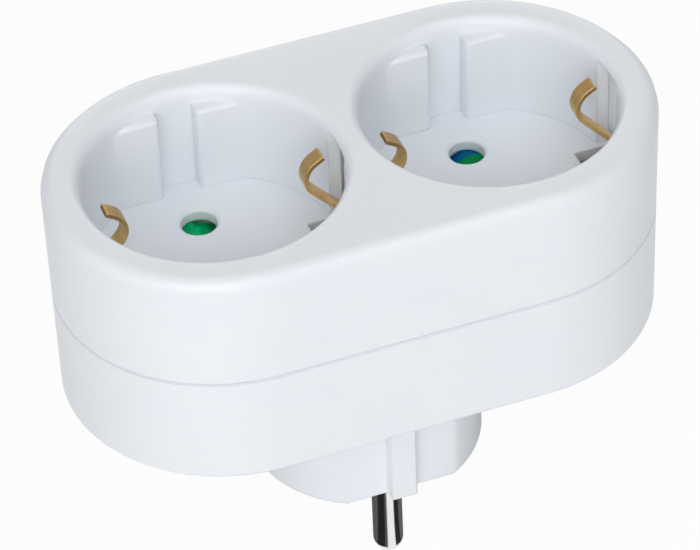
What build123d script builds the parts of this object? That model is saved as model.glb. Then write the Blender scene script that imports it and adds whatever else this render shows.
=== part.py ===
from build123d import *
from math import cos, radians, sin
import os

# Two-way adapter for earthed plugs with two round pins: a plug below, two shuttered sockets above.
# The origin is the centre of the plug's face. +Z points up to the sockets, X runs from one socket
# to the other and Y runs along the line of the pins. Sizes are in millimetres.

# Housing outline: an oval with upright walls
end_pitch = 42.8
half_width = 25.8
upper_height = 19.3
lower_height = 18.7
top_edge_width = 2.0
top_edge_drop = 2.1
edge_bands = 3

# Housing walls and the shadow gap between its two mouldings
wall = 2.0
deck = 2.0
tray_floor = 1.4
seam_gap = 0.3
lip_height = 1.5
lip_thickness = 0.9
fit_clearance = 0.1

# Socket wells
well_pitch = 43.7
well_radius = 19.5
well_depth = 17.5
well_wall = 2.0
well_floor = 2.0
rim_width = 1.6
rim_drop = 2.5
pin_spacing = 19.0
pin_hole_radius = 2.8
hole_chamfer = 0.4
guide_depth = 2.7
guide_gap = 5.9
guide_drop = 2.7
guide_edge_radius = 0.9
slot_width = 7.2
slot_drop = 1.6
notch_depth = 4.4
notch_width = 5.2

# Plug body
plug_height = 21.0
plug_radius = 18.6
plug_flat_depth = 2.25
plug_rib_depth = 0.25
plug_rib_width = 4.2
pocket_wall = 1.5
plug_face = 2.5
groove_width = 6.4
groove_depth = 1.5

# Plug pins
pin_radius = 2.4
pin_length = 19.0
shank_radius = 1.7
pin_seat_wall = 2.0

# Live busbars
bar_thickness = 0.7
bar_height = 7.6
bar_lift = 3.6
pinch = 0.1
hairpin_lead = 3.0
leaf_reach = 4.0
tail_reach = 1.6
tail_flare = 0.8
tab_half_length = 4.0
support_inset = 2.1
support_length = 4.0
support_wall = 1.2
support_grip = 3.0

# Earth circuit
rail_thickness = 0.8
rail_width = 5.6
clip_width = 2.6
clip_thickness = 0.75
clip_tip_depth = 2.6
clip_tip_drop = 2.3
clip_crest_depth = 7.3
clip_crest_drop = 5.3
clip_leg_offset = 1.75
clip_leg_pitch = 2.5
clip_elbow_drop = 14.5
clip_crest_radius = 3.4
clip_elbow_radius = 1.2
clip_foot = 5.2
contact_thickness = 0.8
contact_width = 5.6
contact_low = 1.5
contact_root = 4.0
contact_bow = 0.8
contact_foot = 6.7
contact_bend_radius = 0.8

# Shutters, their trays and springs
shutter_thickness = 2.6
shutter_overlap = 0.5
shutter_lip = 0.8
shutter_ridge = 0.6
shutter_bridge = 2.3
slide_clearance = 0.2
tray_plate = 1.2
tray_wall = 1.2
tray_hole = 6.4
spring_thickness = 0.2
spring_height = 2.0
spring_span = 6.0
spring_room = 2.4
lug_length = 5.0
lug_thickness = 1.4
lug_hook = 0.8

# Housing screws
screw_x = 7.0
screw_inset = 2.7
screw_radius = 1.45
screw_length = 18.0
screw_head_radius = 2.7
screw_head = 2.2
screw_seat_drop = 10.0
screw_post_radius = 3.5
recess_span = 3.2
recess_width = 0.8
recess_depth = 1.0

# Levels and places that follow from the sizes above
foot_z = plug_height
seam_z = foot_z + lower_height
top_z = seam_z + upper_height
tray_z = foot_z + tray_floor
well_z = top_z - well_depth
floor_z = well_z - well_floor
seam_low = seam_z - seam_gap
cavity_half_width = half_width - wall
lip_half_width = cavity_half_width - fit_clearance
tray_half_width = lip_half_width - lip_thickness
well_x = well_pitch / 2
outer_leg = end_pitch / 2 + tray_half_width - clip_leg_offset - well_x
inner_leg = well_x - clip_leg_pitch / 2
pin_y = pin_spacing / 2
well_outer = well_radius + well_wall
guide_y = well_radius - guide_depth
plug_flat_y = plug_radius - plug_flat_depth
groove_x = plug_radius - groove_depth
contact_foot_x = groove_x - contact_foot
rail_top = tray_z + rail_thickness
shutter_top = floor_z - slide_clearance
shutter_low = shutter_top - shutter_thickness
plate_top = shutter_low - slide_clearance
plate_low = plate_top - tray_plate
shutter_half = pin_hole_radius + shutter_overlap
shutter_travel = shutter_half + pin_radius + fit_clearance
tray_end = shutter_half + shutter_travel + spring_room
tray_start = -shutter_half - fit_clearance
tray_half = pin_y + shutter_half + fit_clearance
leaf_y = pin_radius + bar_thickness / 2 - pinch
bar_z = tray_z + bar_lift
tab_low = bar_z - bar_thickness
screw_seat_z = seam_z - screw_seat_drop
screw_y = cavity_half_width - screw_inset
screw_places = [(-screw_x, -screw_y), (screw_x, screw_y)]

BASE = (Align.CENTER, Align.CENTER, Align.MIN)
SIDES = (-1, 1)


def drum(radius, low, high, x=0, y=0):
    """Upright cylinder between two levels."""
    return Pos(x, y, low) * Cylinder(radius, high - low, align=BASE)


def block(x_low, x_high, y_low, y_high, low, high):
    """Upright box between two corners."""
    size = (x_high - x_low, y_high - y_low, high - low)
    return Pos((x_low + x_high) / 2, (y_low + y_high) / 2, low) * Box(*size, align=BASE)


def oval(end_radius, low, high):
    """Upright oval prism between two levels."""
    face = SlotCenterToCenter(end_pitch, 2 * end_radius)
    return extrude(Plane.XY.offset(low) * face, high - low)


def oval_solid(section):
    """Half section turned round each end of the oval and run straight between the ends."""
    across = Plane((0, 0, 0), x_dir=(0, -1, 0), z_dir=(-1, 0, 0))
    half = section + mirror(section, about=Plane.YZ)
    straight = extrude(Plane.YZ * half, end_pitch / 2, both=True)
    end = Pos(end_pitch / 2, 0, 0) * revolve(across * section, Axis.Z, 180)
    return straight + end + mirror(end, about=Plane.YZ)


def soft_corner(x, z, width, drop, start):
    """Points of a soft edge: a quarter of an ellipse about (x, z), in flat bands."""
    angles = [radians(start + 90 * step / edge_bands) for step in range(edge_bands + 1)]
    return [(x + width * cos(angle), z + drop * sin(angle)) for angle in angles]


def strip(path, thickness, width):
    """Bent strip: a path in the XZ plane given thickness, and width along Y."""
    return extrude(Plane.XZ * trace(path, thickness), width / 2, both=True)


def guide_ribs():
    """Two lobes on each pin-line wall of a well, with a gap between them for a plug's rib."""
    reach = well_radius + well_wall / 2
    lobe = Circle(reach) & Pos(reach, guide_y + reach) * Rectangle(2 * reach - guide_gap, 2 * reach)
    rib_top = top_z - guide_drop
    rib = extrude(Plane.XY.offset(well_z - well_floor / 2) * lobe, rib_top - well_z + well_floor / 2)
    front = rib.faces().sort_by(Axis.Y)[0]
    gap_side = rib.faces().sort_by(Axis.X)[0]
    top = rib.faces().sort_by(Axis.Z)[-1]
    soft = ShapeList(e for e in front.edges() if e in gap_side.edges() or e in top.edges())
    rib = fillet(soft, guide_edge_radius)
    pair = rib + mirror(rib, about=Plane.YZ)
    return pair + mirror(pair, about=Plane.XZ)


def clip_slots():
    """Openings in a well's wall and floor for its two earth clips."""
    reach = well_outer + fit_clearance
    half = slot_width / 2
    notch_half = notch_width / 2
    slots = Part()
    for side in SIDES:
        x_wall = sorted((side * (well_radius - well_wall), side * reach))
        x_floor = sorted((side * (well_radius - notch_depth), side * reach))
        slots += block(*x_wall, -half, half, well_z, top_z - slot_drop)
        slots += block(*x_floor, -notch_half, notch_half, floor_z, well_z)
    return slots


def tray_lugs():
    """Hooks under a well floor that hold the sides of its shutter tray, at the right socket."""
    outer = tray_half + tray_wall
    x_low = (tray_start + tray_end - lug_length) / 2
    x_span = (x_low, x_low + lug_length)
    hook_low = plate_low - lug_hook
    lug = block(*x_span, outer, outer + lug_thickness, hook_low, floor_z)
    lug += block(*x_span, outer - lug_hook, outer, hook_low, plate_low)
    return lug + mirror(lug, about=Plane.XZ)


def upper_shell():
    """Solid oval with a soft top edge."""
    edge_x = half_width - top_edge_width
    edge = soft_corner(edge_x, top_z - top_edge_drop, top_edge_width, top_edge_drop, 0)
    outline = Polyline((0, top_z), (0, seam_z), (half_width, seam_z), *edge, close=True)
    return oval_solid(make_face(outline))


def well_space():
    """Room inside a well, flared at the rim."""
    rim = soft_corner(well_radius + rim_width, top_z - rim_drop, rim_width, rim_drop, 90)
    outline = Polyline((well_radius, well_z), (0, well_z), (0, top_z), *rim, close=True)
    return revolve(Plane.XZ * make_face(outline), Axis.Z)


def pin_holes():
    """The two holes in a well's floor, chamfered at the top."""
    hole = drum(pin_hole_radius, floor_z, well_z, 0, pin_y)
    mouth = Cone(pin_hole_radius, pin_hole_radius + hole_chamfer, hole_chamfer, align=BASE)
    hole += Pos(0, pin_y, well_z - hole_chamfer) * mouth
    return hole + mirror(hole, about=Plane.XZ)


def upper_housing():
    """Upper moulding: deck, side walls, the two wells, and the posts that take the screws."""
    shell = upper_shell()
    shell -= oval(cavity_half_width, seam_z, top_z - deck)
    for x, y in screw_places:
        shell += drum(screw_post_radius, seam_z, top_z - deck, x, y)
    for side in SIDES:
        shell += drum(well_outer, floor_z, top_z - deck, side * well_x)
    for side in SIDES:
        well = Pos(side * well_x, 0, 0)
        shell -= well * well_space()
        shell += well * guide_ribs()
        shell -= well * clip_slots()
        shell -= well * pin_holes()
    for x, y in screw_places:
        shell -= drum(screw_radius + fit_clearance / 2, seam_z, screw_seat_z + screw_length, x, y)
    lugs = Pos(well_x, 0, 0) * tray_lugs()
    return shell + lugs + mirror(lugs, about=Plane.YZ)


def plug_body():
    """Round plug with a flat and a guide rib on each pin side."""
    body = extrude(Circle(plug_radius) & Rectangle(2 * plug_radius, 2 * plug_flat_y), tray_z)
    half = plug_rib_width / 2
    rib_y = plug_radius - plug_rib_depth
    return body + block(-half, half, -rib_y, rib_y, 0, foot_z)


def bar_support():
    """Slotted post on the tray floor that carries a busbar's edge."""
    half = bar_thickness / 2 + fit_clearance
    y = pin_y + leaf_y
    x_middle = plug_radius - support_inset
    x_span = (x_middle - support_length / 2, x_middle + support_length / 2)
    post = block(*x_span, y - half - support_wall, y + half + support_wall, tray_z, bar_z + support_grip)
    return post - block(*x_span, y - half, y + half, bar_z, bar_z + support_grip)


def lower_housing():
    """Lower moulding: a tray with a lip, clear of the wells, and the plug below it."""
    shell = oval(half_width, foot_z, seam_low)
    shell += oval(lip_half_width, seam_low, seam_z + lip_height)
    shell += plug_body()
    shell -= oval(tray_half_width, tray_z, seam_z + lip_height)
    for side in SIDES:
        shell -= drum(well_outer + fit_clearance, floor_z - fit_clearance, top_z, side * well_x)
    shell = with_screw_bosses(shell)
    shell = with_pin_seats(shell)
    shell = with_earth_grooves(shell)
    support = bar_support()
    row = support + mirror(support, about=Plane.YZ)
    return shell + row + mirror(row, about=Plane.XZ)


def with_screw_bosses(shell):
    """Bosses that carry the posts of the upper moulding, with the screws' way in from below."""
    room = screw_post_radius + fit_clearance
    for x, y in screw_places:
        shell -= drum(room, seam_z, seam_z + lip_height, x, y)
        shell += drum(screw_post_radius, foot_z + tray_floor / 2, seam_z, x, y)
        shell -= drum(screw_radius + fit_clearance, screw_seat_z, seam_z, x, y)
        shell -= drum(screw_head_radius + fit_clearance, foot_z, screw_seat_z, x, y)
    return shell


def with_pin_seats(shell):
    """Holes for the shanks of the pins, with a pocket between them in the plug."""
    pocket_x = contact_foot_x - pocket_wall
    pocket_y = pin_y - shank_radius - pin_seat_wall
    shell -= block(-pocket_x, pocket_x, -pocket_y, pocket_y, plug_face, tray_z)
    for side in SIDES:
        shell += drum(shank_radius + pin_seat_wall, tray_z, tab_low, 0, side * pin_y)
        shell -= drum(shank_radius + fit_clearance / 2, 0, tab_low, 0, side * pin_y)
    return shell


def with_earth_grooves(shell):
    """Grooves in the plug's sides and the ways in for the earth contacts."""
    half = contact_width / 2 + fit_clearance
    foot_low = tray_z - contact_thickness / 2 - contact_bend_radius
    leg_x = groove_x + contact_thickness + fit_clearance
    for side in SIDES:
        x_groove = sorted((side * groove_x, side * plug_radius))
        x_leg = sorted((side * groove_x, side * leg_x))
        x_foot = sorted((side * contact_foot_x, side * leg_x))
        shell -= block(*x_groove, -groove_width / 2, groove_width / 2, 0, foot_z)
        shell -= block(*x_leg, -half, half, foot_z, tray_z)
        shell -= block(*x_foot, -half, half, foot_low, tray_z)
    return shell


def plug_pin():
    """Turned pin: round tip, shoulder at the plug's face, and a shank brazed under the busbar's tab."""
    tip = soft_corner(0, pin_radius - pin_length, pin_radius, pin_radius, 270)
    shank = [(shank_radius, 0), (shank_radius, tab_low), (0, tab_low)]
    outline = Polyline(*tip, (pin_radius, 0), *shank, close=True)
    return Pos(0, pin_y, 0) * revolve(Plane.XZ * make_face(outline), Axis.Z)


def busbar():
    """Strip on edge with a hairpin contact round each pin place, and a tab for the plug pin."""
    turn = (well_x + hairpin_lead, pin_y, leaf_y, leaf_y)
    end_x = well_x - leaf_reach
    low = pin_y - leaf_y
    tail = [(end_x - tail_reach, low - tail_flare), (end_x, low)]
    right = [*tail, *soft_corner(*turn, 270), *soft_corner(*turn, 0)[1:]]
    left = [(-x, y) for x, y in reversed(right)]
    bar = extrude(Plane.XY.offset(bar_z) * trace(Polyline(*right, *left), bar_thickness), bar_height)
    tab_y = pin_y + leaf_y + bar_thickness / 2
    return bar + block(-tab_half_length, tab_half_length, low, tab_y, tab_low, bar_z)


def earth_rail():
    """Strip along the tray's floor that joins the clips and the plug's earth contacts."""
    reach = well_x + outer_leg + clip_thickness / 2
    return block(-reach, reach, -rail_width / 2, rail_width / 2, tray_z, rail_top)


def earth_clip(leg):
    """Spring strip: tip, crest towards the well's axis, leg behind the wall, foot welded to the rail."""
    foot_level = rail_top + clip_thickness / 2
    spring = FilletPolyline(
        (well_radius - clip_tip_depth, top_z - clip_tip_drop),
        (well_radius - clip_crest_depth, top_z - clip_crest_drop),
        (leg, top_z - clip_elbow_drop),
        (leg, foot_level),
        radius=[clip_crest_radius, clip_elbow_radius],
    )
    foot = Line((leg, foot_level), (leg - clip_foot, foot_level))
    return strip([spring, foot], clip_thickness, clip_width)


def plug_earth_contact():
    """Bowed strip in the plug's side groove, with a foot welded under the earth rail."""
    leg_x = groove_x + contact_thickness / 2
    foot_level = tray_z - contact_thickness / 2
    bend_low = foot_level - contact_bend_radius
    bend_x = leg_x - contact_bend_radius
    contact_high = foot_z - contact_root
    middle = (contact_low + contact_high) / 2
    path = [
        ThreePointArc((leg_x, contact_low), (leg_x + contact_bow, middle), (leg_x, contact_high)),
        Line((leg_x, contact_high), (leg_x, bend_low)),
        RadiusArc((leg_x, bend_low), (bend_x, foot_level), -contact_bend_radius),
        Line((bend_x, foot_level), (contact_foot_x, foot_level)),
    ]
    return strip(path, contact_thickness, contact_width)


def shutter():
    """Slider of the right socket: two ramped blocks under the pin holes, joined by a bridge."""
    profile = Polyline(
        (-shutter_half, shutter_low),
        (shutter_half, shutter_low),
        (shutter_half, shutter_top),
        (shutter_ridge, shutter_top),
        (-shutter_half, shutter_low + shutter_lip),
        close=True,
    )
    ramp = extrude(Plane.XZ * make_face(profile), shutter_half, both=True)
    bridge_x = shutter_half - shutter_bridge
    slider = block(bridge_x, shutter_half, -pin_y, pin_y, shutter_low, shutter_top)
    for side in SIDES:
        slider += Pos(0, side * pin_y, 0) * ramp
    return slider


def shutter_tray():
    """Tray of the right socket: plate with pin holes and a wall all round the shutter's travel."""
    outer = tray_half + tray_wall
    tray = block(tray_start - tray_wall, tray_end + tray_wall, -outer, outer, plate_low, floor_z)
    tray -= block(tray_start, tray_end, -tray_half, tray_half, plate_top, floor_z)
    for side in SIDES:
        tray -= Pos(0, side * pin_y, plate_low) * Box(tray_hole, tray_hole, tray_plate, align=BASE)
    return tray


def shutter_spring():
    """Folded leaf between the shutter's bridge and the tray's end wall, at the right socket."""
    near = shutter_half + fit_clearance + spring_thickness / 2
    far = tray_end - spring_thickness / 2
    half = spring_span / 2
    path = Polyline((near, -half), (near, half), (far, -half), (far, half))
    low = (shutter_low + shutter_top - spring_height) / 2
    return extrude(Plane.XY.offset(low) * trace(path, spring_thickness), spring_height)


def housing_screws():
    """Two cross-recessed screws as separate solids, put in from the underside."""
    low = screw_seat_z - screw_head
    screw = drum(screw_head_radius, low, screw_seat_z)
    screw += drum(screw_radius, screw_seat_z, screw_seat_z + screw_length)
    half = recess_span / 2
    cross = block(-half, half, -recess_width / 2, recess_width / 2, low, low + recess_depth)
    screw -= cross + Rot(0, 0, 90) * cross
    return Compound(children=[Pos(x, y, 0) * screw for x, y in screw_places])


def both_ends(name, solid):
    """The right-hand piece and its mirror image at the left."""
    return {f"{name}_right": solid, f"{name}_left": mirror(solid, about=Plane.YZ)}


pin = plug_pin()
bar = busbar()
clip_outer = Pos(well_x, 0, 0) * earth_clip(outer_leg)
clip_inner = Pos(well_x, 0, 0) * mirror(earth_clip(inner_leg), about=Plane.YZ)
pieces = {
    "upper_housing": upper_housing(),
    "lower_housing": lower_housing(),
    "plug_pin_line": pin,
    "plug_pin_neutral": mirror(pin, about=Plane.XZ),
    "busbar_line": bar,
    "busbar_neutral": mirror(bar, about=Plane.XZ),
    "earth_rail": earth_rail(),
    "earth_clip_right_outer": clip_outer,
    "earth_clip_right_inner": clip_inner,
    "earth_clip_left_outer": mirror(clip_outer, about=Plane.YZ),
    "earth_clip_left_inner": mirror(clip_inner, about=Plane.YZ),
    "housing_screws": housing_screws(),
    **both_ends("plug_earth_contact", plug_earth_contact()),
    **both_ends("shutter", Pos(well_x, 0, 0) * shutter()),
    **both_ends("shutter_tray", Pos(well_x, 0, 0) * shutter_tray()),
    **both_ends("shutter_spring", Pos(well_x, 0, 0) * shutter_spring()),
}

os.makedirs("parts", exist_ok=True)
for name, piece in pieces.items():
    export_step(piece, f"parts/{name}.step")
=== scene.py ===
from math import cos, radians, sin, tan

import bmesh
import bpy
from mathutils import Matrix, Vector


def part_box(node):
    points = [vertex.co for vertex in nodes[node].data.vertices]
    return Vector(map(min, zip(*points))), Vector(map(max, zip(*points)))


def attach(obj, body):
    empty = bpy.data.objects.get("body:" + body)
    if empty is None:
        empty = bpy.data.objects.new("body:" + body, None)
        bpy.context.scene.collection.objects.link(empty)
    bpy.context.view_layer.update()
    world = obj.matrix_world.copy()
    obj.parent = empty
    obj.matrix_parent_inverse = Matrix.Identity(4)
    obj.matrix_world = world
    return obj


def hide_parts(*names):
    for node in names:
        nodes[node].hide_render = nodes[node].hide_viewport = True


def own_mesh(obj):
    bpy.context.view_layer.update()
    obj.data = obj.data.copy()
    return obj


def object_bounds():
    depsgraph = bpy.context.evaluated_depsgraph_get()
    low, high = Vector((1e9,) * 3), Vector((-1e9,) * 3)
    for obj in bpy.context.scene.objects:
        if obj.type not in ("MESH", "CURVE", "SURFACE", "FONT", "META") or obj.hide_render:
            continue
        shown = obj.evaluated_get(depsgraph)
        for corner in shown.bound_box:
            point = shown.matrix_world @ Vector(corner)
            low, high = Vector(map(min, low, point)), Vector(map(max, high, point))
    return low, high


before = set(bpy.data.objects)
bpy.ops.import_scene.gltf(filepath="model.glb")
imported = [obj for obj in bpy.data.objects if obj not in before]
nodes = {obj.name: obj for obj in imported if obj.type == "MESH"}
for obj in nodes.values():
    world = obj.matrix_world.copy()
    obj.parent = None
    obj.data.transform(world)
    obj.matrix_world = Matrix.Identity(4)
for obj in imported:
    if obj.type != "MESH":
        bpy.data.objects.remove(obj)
cad_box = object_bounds()
scene = bpy.context.scene

# Lengths are in millimetres and angles in degrees, unless a comment says otherwise
MM = 0.001
SIDES = {"left": -1, "right": 1}

# Photograph: its frame in pixels, and the camera that sees the object as it does
PHOTO_WIDTH, PHOTO_HEIGHT = 700, 550
AZIMUTH, ELEVATION, ROLL = 18.588, 41.214, -2.589
FOCAL_PIXELS = 3665.9
DISTANCE = 542.8
TARGET_X, TARGET_Y = 351.74, 133.48
SENSOR_WIDTH = 36.0

# Light: an even white surround, and large soft lamps, each with its place and width in metres and its power
# in watts
SURROUND_LIGHT = 0.24
LAMPS = {
    "front_left_lamp": ((-0.55, -0.95, 0.55), 0.9, 7.4),
    "front_lamp": ((0.1, -0.85, 0.95), 0.9, 3.2),
    "top_lamp": ((0.0, 0.1, 1.1), 0.9, 1.8),
    "back_lamp": ((0.3, 1.05, 0.3), 0.9, 3.8),
}

# Floor: half its width in metres, its finish, and the share of plain white in what the eye sees of it
FLOOR_HALF_SIZE = 3.0
FLOOR_COLOUR = (0.9, 0.9, 0.9, 1)
FLOOR_ROUGHNESS = 0.9
FLOOR_WHITE_SHARE = 0.94

# Dark cards on the floor round the near pin, which only mirror-like surfaces see: each has its first and last
# angle to the right of the camera's side, and its tone
CARDS = {
    "far_left_card": (-180, -72, 0.15),
    "left_card": (-72, -20, 0.03),
    "near_left_card": (-20, -4, 0.13),
    "right_card": (44, 84, 0.035),
    "far_right_card": (84, 152, 0.17),
}
CAMERA_SIDE = -90 - AZIMUTH
CARD_INNER, CARD_OUTER = 3.0, 45.0
CARD_LIFT = 0.1
CARD_STEP = 4

# Light that the thin walls let through, given by unseen sheets in the gap beside each end's well, between the
# wells and in the seam: each kind has its lower and upper edge, and its strength
END_CENTRE = 21.4
END_GAP_RADIUS, END_GAP_ANGLE = 22.9, 30
MIDDLE_REACH = 20.0
SEAM_RADIUS, SEAM_ANGLE = 25.45, 90
ARC_STEP = 6
END_HEIGHTS, END_GLOW = (42.0, 56.5), 0.5
MIDDLE_HEIGHTS, MIDDLE_GLOW = (34.0, 56.5), 0.35
SEAM_HEIGHTS, SEAM_GLOW = (39.4, 39.7), 1.0

# Colours, as linear red, green, blue and alpha: each pair has a light and a dark tone
WHITE = (0.862, 0.894, 0.938, 1), (0.842, 0.877, 0.925, 1)
GREEN = (0.001, 0.62, 0.20, 1), (0.001, 0.26, 0.10, 1)
# Painted shade: the right shutter's green is a darker copy of the shutter green, standing in for shade
PAINTED_SHADE_GREEN = (0.001, 0.30, 0.08, 1), (0.001, 0.20, 0.05, 1)
GREY = (0.42, 0.44, 0.43, 1), (0.34, 0.36, 0.355, 1)
BRASS = (1.0, 0.67, 0.27, 1), (0.66, 0.42, 0.15, 1)
NICKEL = (0.86, 0.85, 0.835, 1), (0.81, 0.80, 0.78, 1)
STEEL = (0.60, 0.60, 0.61, 1), (0.46, 0.46, 0.47, 1)
ZINC = (0.66, 0.68, 0.71, 1), (0.52, 0.53, 0.53, 1)
# Painted shade: blue over the far part of the right shutter, standing in for its shaded facet
PAINTED_SHADE_BLUE = (0.001, 0.13, 0.31, 1)
# A darker brown that covers the brass with height, towards the clips' tops
BRASS_UPPER_TONE = (0.34, 0.215, 0.08, 1)
BRASS_EDGE = (1.0, 0.64, 0.24, 1)

# Where a second colour starts and is full: painted shade in blue along Y on the right shutter, brown along Z
# on brass
SHADE_BLUE_FROM, SHADE_BLUE_TO = 10.5, 11.1
UPPER_TONE_FROM, UPPER_TONE_TO = 50, 56

# Texture: noise levels at which the tones reach their ends, the noise's detail, and the bump's strength
NOISE_LOW, NOISE_HIGH = 0.3, 0.7
PATCH_DETAIL, GRAIN_DETAIL = 3.0, 2.0
BUMP_STRENGTH = 0.5

# Lighter edges: how far the rounded normal agrees with the flat one where the edge colour starts and is full
EDGE_TONE_START, EDGE_TONE_FULL = 0.97, 0.75

# Meshes: the distance within which points are joined, the angle under which faces count as one flat, and the
# angle over which edges stay sharp in shading
WELD_DISTANCE = 0.002
FLAT_LIMIT = 0.5
SHARP_LIMIT = 40

# Rounded edges: their widths, the steps across them, and the angle over which the pins' edges are rounded
NO_BEVEL = 0
PLUG_BEVEL, SHUTTER_BEVEL, STRIP_BEVEL = 0.35, 0.12, 0.08
PIN_BEVEL, CONTACT_BEVEL, SCREW_BEVEL = 0.5, 0.1, 0.1
BEVEL_SEGMENTS = 3
PIN_EDGE_LIMIT = 12

# Rounded edges of the lower housing, all below one level: those out on the foot, and those of the plug short
# of where its grooves end
FOOT_EDGE_TOP = 21.05
FOOT_REACH = 24.6
PLUG_REACH = 12.5
GROOVE_END = 20.0

# Leaf springs behind the shutters
SPRING_THICKNESS = 0.2
SPRING_FOLD_RADIUS = 0.45
FOLD_STEPS = 6


def noise(tree, place, size, detail):
    """Noise in the object's own space, with its size along each axis."""
    scaled = tree.nodes.new("ShaderNodeMapping")
    scaled.inputs["Scale"].default_value = [1 / (length * MM) for length in size]
    texture = tree.nodes.new("ShaderNodeTexNoise")
    texture.inputs["Scale"].default_value = 1.0
    texture.inputs["Detail"].default_value = detail
    tree.links.new(place, scaled.inputs["Vector"])
    tree.links.new(scaled.outputs["Vector"], texture.inputs["Vector"])
    return texture.outputs["Fac"]


def mapped(tree, value, first, last, low=0.0, high=1.0):
    """Level that goes from low to high while a value goes from first to last."""
    span = tree.nodes.new("ShaderNodeMapRange")
    span.inputs["From Min"].default_value = first
    span.inputs["From Max"].default_value = last
    span.inputs["To Min"].default_value = low
    span.inputs["To Max"].default_value = high
    tree.links.new(value, span.inputs["Value"])
    return span.outputs["Result"]


def blended(tree, under, over, share):
    """Colour that another one covers by a share."""
    blend = tree.nodes.new("ShaderNodeMixRGB")
    blend.inputs["Color2"].default_value = over
    tree.links.new(under, blend.inputs["Color1"])
    tree.links.new(share, blend.inputs["Fac"])
    return blend.outputs["Color"]


def finish(name, tones, patch, grain, rough, depth, edge, metallic=0.0, specular=0.5, tint=None, edge_tone=None):
    """Material with patches of tone over a fine grain, and edges that shade as if rounded.

    A tint has a colour, an axis and the two places along it between which the colour takes over.
    An edge colour, if given, is the colour that the edges take.
    """
    material = bpy.data.materials.new(name)
    material.use_nodes = True
    tree = material.node_tree
    shader = tree.nodes["Principled BSDF"]
    shader.inputs["Metallic"].default_value = metallic
    shader.inputs["Specular IOR Level"].default_value = specular
    place = tree.nodes.new("ShaderNodeTexCoord").outputs["Object"]
    drift = noise(tree, place, patch, PATCH_DETAIL)
    fine = noise(tree, place, grain, GRAIN_DETAIL)
    tone = tree.nodes.new("ShaderNodeValToRGB")
    light, dark = tones
    lower, upper = tone.color_ramp.elements
    lower.position = NOISE_LOW
    lower.color = dark
    upper.position = NOISE_HIGH
    upper.color = light
    tree.links.new(drift, tone.inputs["Fac"])
    tree.links.new(mapped(tree, fine, NOISE_LOW, NOISE_HIGH, *rough), shader.inputs["Roughness"])
    rounding = tree.nodes.new("ShaderNodeBevel")
    rounding.inputs["Radius"].default_value = edge * MM
    bump = tree.nodes.new("ShaderNodeBump")
    bump.inputs["Distance"].default_value = depth * MM
    bump.inputs["Strength"].default_value = BUMP_STRENGTH
    tree.links.new(fine, bump.inputs["Height"])
    tree.links.new(rounding.outputs["Normal"], bump.inputs["Normal"])
    tree.links.new(bump.outputs["Normal"], shader.inputs["Normal"])
    colour = tone.outputs["Color"]
    if tint:
        over, axis, first, last = tint
        along = tree.nodes.new("ShaderNodeSeparateXYZ")
        tree.links.new(place, along.inputs["Vector"])
        colour = blended(tree, colour, over, mapped(tree, along.outputs[axis], first * MM, last * MM))
    if edge_tone:
        surface = tree.nodes.new("ShaderNodeNewGeometry")
        agreement = tree.nodes.new("ShaderNodeVectorMath")
        agreement.operation = "DOT_PRODUCT"
        tree.links.new(rounding.outputs["Normal"], agreement.inputs[0])
        tree.links.new(surface.outputs["True Normal"], agreement.inputs[1])
        colour = blended(tree, colour, edge_tone, mapped(tree, agreement.outputs["Value"], EDGE_TONE_START, EDGE_TONE_FULL))
    tree.links.new(colour, shader.inputs["Base Color"])
    return material


def modifier_group(name):
    """Geometry node group for a modifier, with its input and output nodes."""
    group = bpy.data.node_groups.new(name, "GeometryNodeTree")
    for way in ("INPUT", "OUTPUT"):
        group.interface.new_socket("Geometry", in_out=way, socket_type="NodeSocketGeometry")
    return group, group.nodes.new("NodeGroupInput"), group.nodes.new("NodeGroupOutput")


def calculated(group, operation, *values):
    """Result of a calculation in a node group."""
    node = group.nodes.new("ShaderNodeMath")
    node.operation = operation
    for value, socket in zip(values, node.inputs):
        group.links.new(value, socket)
    return node.outputs["Value"]


def compared(group, value, operation, level):
    """Whether a value in a node group lies above or below a level."""
    node = group.nodes.new("FunctionNodeCompare")
    node.operation = operation
    node.inputs["B"].default_value = level
    group.links.new(value, node.inputs["A"])
    return node.outputs["Result"]


def combined(group, first, operation, second):
    """Two answers in a node group, taken together."""
    node = group.nodes.new("FunctionNodeBooleanMath")
    node.operation = operation
    group.links.new(first, node.inputs[0])
    group.links.new(second, node.inputs[1])
    return node.outputs["Boolean"]


def shade_by_angle():
    """Modifier group that shades faces smoothly and keeps sharp edges."""
    group, source, result = modifier_group("shade_by_angle")
    angle = group.nodes.new("GeometryNodeInputMeshEdgeAngle").outputs["Unsigned Angle"]
    sharp = compared(group, angle, "GREATER_THAN", radians(SHARP_LIMIT))
    faces = group.nodes.new("GeometryNodeSetShadeSmooth")
    edges = group.nodes.new("GeometryNodeSetShadeSmooth")
    edges.domain = "EDGE"
    edges.inputs["Shade Smooth"].default_value = False
    group.links.new(source.outputs["Geometry"], faces.inputs["Geometry"])
    group.links.new(faces.outputs["Geometry"], edges.inputs["Geometry"])
    group.links.new(sharp, edges.inputs["Selection"])
    group.links.new(edges.outputs["Geometry"], result.inputs["Geometry"])
    return group


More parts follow.
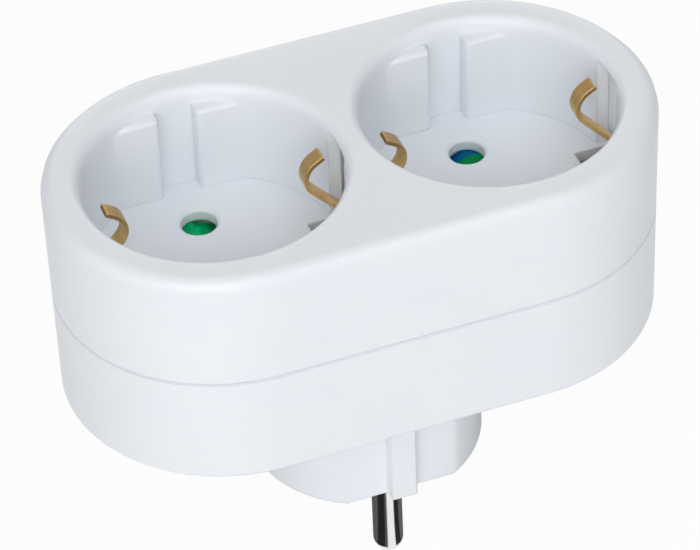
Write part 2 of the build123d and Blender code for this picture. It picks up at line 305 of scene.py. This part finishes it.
def mark_plug_edges():
    """Modifier group that weights the outer edges of the plug and of the foot for a bevel."""
    group, source, result = modifier_group("plug_edges")
    position = group.nodes.new("GeometryNodeInputPosition").outputs["Position"]
    place = group.nodes.new("ShaderNodeSeparateXYZ")
    group.links.new(position, place.inputs["Vector"])
    height = place.outputs["Z"]
    sizes = [calculated(group, "ABSOLUTE", place.outputs[axis]) for axis in "XY"]
    reach = calculated(group, "MAXIMUM", *sizes)
    angle = group.nodes.new("GeometryNodeInputMeshEdgeAngle").outputs["Signed Angle"]
    convex = compared(group, angle, "GREATER_THAN", radians(SHARP_LIMIT))
    below = compared(group, height, "LESS_THAN", FOOT_EDGE_TOP * MM)
    off_axis = compared(group, reach, "GREATER_THAN", PLUG_REACH * MM)
    short = compared(group, height, "LESS_THAN", GROOVE_END * MM)
    on_foot = compared(group, reach, "GREATER_THAN", FOOT_REACH * MM)
    outer = combined(group, combined(group, off_axis, "AND", short), "OR", on_foot)
    marked = combined(group, combined(group, convex, "AND", below), "AND", outer)
    weight = group.nodes.new("GeometryNodeStoreNamedAttribute")
    weight.domain = "EDGE"
    weight.inputs["Name"].default_value = "bevel_weight_edge"
    group.links.new(source.outputs["Geometry"], weight.inputs["Geometry"])
    group.links.new(marked, weight.inputs["Value"])
    group.links.new(weight.outputs["Geometry"], result.inputs["Geometry"])
    return group


shading = shade_by_angle()
plug_edges = mark_plug_edges()


def soften(piece, width, limit, marks):
    """Shades a piece's curved faces smoothly, and rounds its marked edges or those sharper than a limit."""
    weld = piece.modifiers.new("weld", "WELD")
    weld.merge_threshold = WELD_DISTANCE * MM
    if width:
        flat = piece.modifiers.new("flat_faces", "DECIMATE")
        flat.decimate_type = "DISSOLVE"
        flat.angle_limit = radians(FLAT_LIMIT)
        if marks:
            piece.modifiers.new("marks", "NODES").node_group = marks
        bevel = piece.modifiers.new("soft_edges", "BEVEL")
        bevel.width = width * MM
        bevel.segments = BEVEL_SEGMENTS
        bevel.limit_method = "WEIGHT" if marks else "ANGLE"
        bevel.angle_limit = radians(limit)
        bevel.use_clamp_overlap = not marks
    smooth = piece.modifiers.new("shading", "NODES")
    smooth.node_group = shading
    normals = piece.modifiers.new("normals", "WEIGHTED_NORMAL")
    normals.keep_sharp = True


def dress(material, width, *names, limit=SHARP_LIMIT, marks=None):
    """Gives CAD nodes a material, and edges rounded over a width."""
    for name in names:
        node = nodes[name]
        node.data.materials.clear()
        node.data.materials.append(material)
        soften(node, width, limit, marks)


white = finish(
    "white_moulding", WHITE,
    patch=(18, 18, 18), grain=(0.12, 0.12, 0.12), rough=(0.3, 0.42), depth=0.004, edge=0.5,
)
green = finish(
    "green_moulding", GREEN,
    patch=(2, 2, 2), grain=(0.1, 0.1, 0.1), rough=(0.3, 0.42), depth=0.004, edge=0.2, specular=0.05,
)
# Painted shade: the right shutter gets a darker copy of the green, with blue painted shade over its far part
painted_shade_green = finish(
    "painted_shade_green_moulding", PAINTED_SHADE_GREEN,
    patch=(2, 2, 2), grain=(0.1, 0.1, 0.1), rough=(0.3, 0.42), depth=0.004, edge=0.2, specular=0.05,
    tint=(PAINTED_SHADE_BLUE, "Y", SHADE_BLUE_FROM, SHADE_BLUE_TO),
)
grey = finish(
    "grey_moulding", GREY,
    patch=(4, 4, 4), grain=(0.12, 0.12, 0.12), rough=(0.4, 0.55), depth=0.006, edge=0.2,
)
brass = finish(
    "brass_strip", BRASS,
    patch=(2.5, 2.5, 2.5), grain=(1.2, 0.04, 1.2), rough=(0.3, 0.42), depth=0.001, edge=0.3, metallic=0.75,
    tint=(BRASS_UPPER_TONE, "Z", UPPER_TONE_FROM, UPPER_TONE_TO), edge_tone=BRASS_EDGE,
)
nickel = finish(
    "nickel_pin", NICKEL,
    patch=(2, 2, 2), grain=(0.8, 0.8, 0.04), rough=(0.05, 0.1), depth=0.0004, edge=0.3, metallic=1.0,
)
plated = finish(
    "nickel_strip", NICKEL,
    patch=(3, 3, 3), grain=(1.2, 0.04, 1.2), rough=(0.18, 0.3), depth=0.0015, edge=0.15, metallic=1.0,
)
steel = finish(
    "spring_steel", STEEL,
    patch=(2, 2, 0.3), grain=(3, 3, 0.04), rough=(0.2, 0.35), depth=0.002, edge=0.05, metallic=1.0,
)
zinc = finish(
    "zinc_screw", ZINC,
    patch=(0.8, 0.8, 0.8), grain=(0.08, 0.08, 0.08), rough=(0.25, 0.42), depth=0.004, edge=0.2, metallic=1.0,
)

clips = [f"earth_clip_{side}_{place}" for side in SIDES for place in ("outer", "inner")]
dress(white, NO_BEVEL, "upper_housing")
dress(white, PLUG_BEVEL, "lower_housing", marks=plug_edges)
dress(green, SHUTTER_BEVEL, "shutter_left")
dress(painted_shade_green, SHUTTER_BEVEL, "shutter_right")
dress(grey, NO_BEVEL, "shutter_tray_left", "shutter_tray_right")
dress(brass, STRIP_BEVEL, "busbar_line", "busbar_neutral", "earth_rail", *clips)
dress(nickel, PIN_BEVEL, "plug_pin_line", "plug_pin_neutral", limit=PIN_EDGE_LIMIT)
dress(plated, CONTACT_BEVEL, "plug_earth_contact_left", "plug_earth_contact_right")
dress(zinc, SCREW_BEVEL, "housing_screws")


def rounded(corners, radius):
    """Path through the corners, with each inner corner turned on an arc."""
    path = [corners[0]]
    for before, corner, after in zip(corners, corners[1:], corners[2:]):
        back = (before - corner).normalized()
        ahead = (after - corner).normalized()
        half = back.angle(ahead) / 2
        centre = corner + (back + ahead).normalized() * radius / sin(half)
        start = corner + back * radius / tan(half) - centre
        end = corner + ahead * radius / tan(half) - centre
        turn = start.angle_signed(end)
        for step in range(FOLD_STEPS + 1):
            path.append(centre + Matrix.Rotation(-turn * step / FOLD_STEPS, 2) @ start)
    return [*path, corners[-1]]


def leaf_spring(side):
    """Folded leaf between a shutter's bridge and its tray's end wall."""
    node = f"shutter_spring_{side}"
    low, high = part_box(node)
    near, far = (low.x, high.x) if side == "right" else (high.x, low.x)
    inset = SPRING_THICKNESS / 2 * MM
    out = inset if far > near else -inset
    y_low, y_high = low.y + inset, high.y - inset
    corners = [(near + out, y_low), (near + out, y_high), (far - out, y_low), (far - out, y_high)]
    path = rounded([Vector(corner) for corner in corners], SPRING_FOLD_RADIUS * MM)
    mesh = bmesh.new()
    rings = []
    for index, point in enumerate(path):
        along = (path[min(index + 1, len(path) - 1)] - path[max(index - 1, 0)]).normalized()
        across = Vector((-along.y, along.x)) * inset
        outside, inside = point + across, point - across
        edge = [(*outside, low.z), (*outside, high.z), (*inside, high.z), (*inside, low.z)]
        rings.append([mesh.verts.new(place) for place in edge])
    for first, second in zip(rings, rings[1:]):
        for corner in range(len(first)):
            following = (corner + 1) % len(first)
            mesh.faces.new((first[corner], first[following], second[following], second[corner]))
    mesh.faces.new(reversed(rings[0]))
    mesh.faces.new(rings[-1])
    bmesh.ops.recalc_face_normals(mesh, faces=mesh.faces)
    data = bpy.data.meshes.new(f"leaf_spring_{side}")
    mesh.to_mesh(data)
    mesh.free()
    data.materials.append(steel)
    spring = bpy.data.objects.new(f"leaf_spring_{side}", data)
    scene.collection.objects.link(spring)
    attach(spring, "housing")
    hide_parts(node)
    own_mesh(spring)


for side in SIDES:
    leaf_spring(side)


def seen_only_by_eye(tree):
    """Value of one for camera, mirror and glass rays, and zero for the rays that light the object."""
    path = tree.nodes.new("ShaderNodeLightPath")
    total = path.outputs["Is Camera Ray"]
    for kind in ("Is Glossy Ray", "Is Transmission Ray"):
        total = calculated(tree, "MAXIMUM", total, path.outputs[kind])
    return total


def studio_surround():
    """World that looks white and lights the object evenly."""
    world = bpy.data.worlds.new("surround")
    world.use_nodes = True
    scene.world = world
    tree = world.node_tree
    background = tree.nodes["Background"]
    background.inputs["Color"].default_value = (1, 1, 1, 1)
    level = mapped(tree, seen_only_by_eye(tree), 0.0, 1.0, SURROUND_LIGHT, 1.0)
    tree.links.new(level, background.inputs["Strength"])


def matt_material(name, colour):
    """Plain material without gloss."""
    material = bpy.data.materials.new(name)
    material.use_nodes = True
    shader = material.node_tree.nodes["Principled BSDF"]
    shader.inputs["Base Color"].default_value = colour
    shader.inputs["Specular IOR Level"].default_value = 0.0
    return material


def band(name, first_rim, last_rim, material):
    """Object with a row of faces between two rims of as many points."""
    count = len(first_rim)
    mesh = bpy.data.meshes.new(name)
    faces = [(step, step + 1, count + step + 1, count + step) for step in range(count - 1)]
    mesh.from_pydata([*first_rim, *last_rim], [], faces)
    mesh.materials.append(material)
    piece = bpy.data.objects.new(name, mesh)
    scene.collection.objects.link(piece)
    return piece


def hide(piece, *kinds):
    """Makes a piece unseen by some kinds of rays."""
    for kind in kinds:
        setattr(piece, f"visible_{kind}", False)


def studio_floor():
    """Pale floor under the pins' tips that keeps a soft shadow."""
    half = FLOOR_HALF_SIZE
    material = matt_material("floor", FLOOR_COLOUR)
    near_rim, far_rim = ([(-half, y, 0), (half, y, 0)] for y in (-half, half))
    floor = band("floor", near_rim, far_rim, material)
    floor.location.z = cad_box[0].z
    tree = material.node_tree
    shader = tree.nodes["Principled BSDF"]
    shader.inputs["Roughness"].default_value = FLOOR_ROUGHNESS
    glow = tree.nodes.new("ShaderNodeEmission")
    share = tree.nodes.new("ShaderNodeMath")
    share.operation = "MULTIPLY"
    share.inputs[1].default_value = FLOOR_WHITE_SHARE
    mix = tree.nodes.new("ShaderNodeMixShader")
    tree.links.new(seen_only_by_eye(tree), share.inputs[0])
    tree.links.new(share.outputs["Value"], mix.inputs["Fac"])
    tree.links.new(shader.outputs["BSDF"], mix.inputs[1])
    tree.links.new(glow.outputs["Emission"], mix.inputs[2])
    tree.links.new(mix.outputs["Shader"], tree.nodes["Material Output"].inputs["Surface"])


def reflection_cards(pin):
    """Sectors of a ring on the floor round a pin, seen only in its polish."""
    low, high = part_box(pin)
    middle = (low + high) / 2
    for name, (first, last, tone) in CARDS.items():
        turns = [radians(angle + CAMERA_SIDE) for angle in range(first, last + 1, CARD_STEP)]
        rims = [[(radius * MM * cos(turn), radius * MM * sin(turn), 0) for turn in turns]
                for radius in (CARD_INNER, CARD_OUTER)]
        card = band(name, *rims, matt_material(name, (tone, tone, tone, 1)))
        card.location = (middle.x, middle.y, low.z + CARD_LIFT * MM)
        hide(card, "camera", "diffuse", "transmission", "shadow")


def glow_sheet(name, path, heights, strength):
    """Upright sheet along a path that lights what is round it and is not seen itself."""
    material = matt_material(name, (0, 0, 0, 1))
    shader = material.node_tree.nodes["Principled BSDF"]
    shader.inputs["Emission Color"].default_value = (1, 1, 1, 1)
    shader.inputs["Emission Strength"].default_value = strength
    rims = [[(x * MM, y * MM, height * MM) for x, y in path] for height in heights]
    sheet = band(name, *rims, material)
    hide(sheet, "camera", "glossy", "transmission", "shadow")


def end_arc(side, radius, reach):
    """Points along an arc about the centre of one of the housing's round ends."""
    turns = [radians(angle) for angle in range(-reach, reach + 1, ARC_STEP)]
    return [(SIDES[side] * (END_CENTRE + radius * cos(turn)), radius * sin(turn)) for turn in turns]


def wall_glows():
    """Sheets in the gaps behind the earth clips and in the seam."""
    for side in SIDES:
        glow_sheet(f"{side}_end_glow", end_arc(side, END_GAP_RADIUS, END_GAP_ANGLE), END_HEIGHTS, END_GLOW)
    glow_sheet("middle_glow", [(0, -MIDDLE_REACH), (0, MIDDLE_REACH)], MIDDLE_HEIGHTS, MIDDLE_GLOW)
    left, right = (end_arc(side, SEAM_RADIUS, SEAM_ANGLE) for side in SIDES)
    glow_sheet("seam_glow", [*right, *reversed(left), right[0]], SEAM_HEIGHTS, SEAM_GLOW)


def studio_lamps(target):
    """Square area lamps that point at the target."""
    for name, (place, size, power) in LAMPS.items():
        data = bpy.data.lights.new(name, "AREA")
        data.size = size
        data.energy = power
        lamp = bpy.data.objects.new(name, data)
        lamp.location = place
        lamp.rotation_euler = (Vector(place) - target).to_track_quat("Z", "Y").to_euler()
        scene.collection.objects.link(lamp)


def photo_camera(target):
    """Camera at the photograph's angle, with the target at its pixel in the photograph."""
    azimuth, elevation, roll = radians(AZIMUTH), radians(ELEVATION), radians(ROLL)
    back = Vector((-sin(azimuth) * cos(elevation), -cos(azimuth) * cos(elevation), sin(elevation)))
    level = Vector((cos(azimuth), -sin(azimuth), 0))
    upright = back.cross(level)
    right = level * cos(roll) + upright * sin(roll)
    up = upright * cos(roll) - level * sin(roll)
    distance = DISTANCE * MM
    across = (TARGET_X - PHOTO_WIDTH / 2) / FOCAL_PIXELS * distance
    down = (TARGET_Y - PHOTO_HEIGHT / 2) / FOCAL_PIXELS * distance
    place = target + back * distance - right * across + up * down
    data = bpy.data.cameras.new("camera")
    data.sensor_width = SENSOR_WIDTH
    data.lens = FOCAL_PIXELS * SENSOR_WIDTH / PHOTO_WIDTH
    camera = bpy.data.objects.new("camera", data)
    camera.matrix_world = Matrix.Translation(place) @ Matrix((right, up, back)).transposed().to_4x4()
    scene.collection.objects.link(camera)
    scene.camera = camera


deck_centre = Vector((0, 0, cad_box[1].z))
studio_surround()
studio_floor()
reflection_cards("plug_pin_neutral")
wall_glows()
studio_lamps(deck_centre)
photo_camera(deck_centre)
scene.view_settings.view_transform = "Standard"
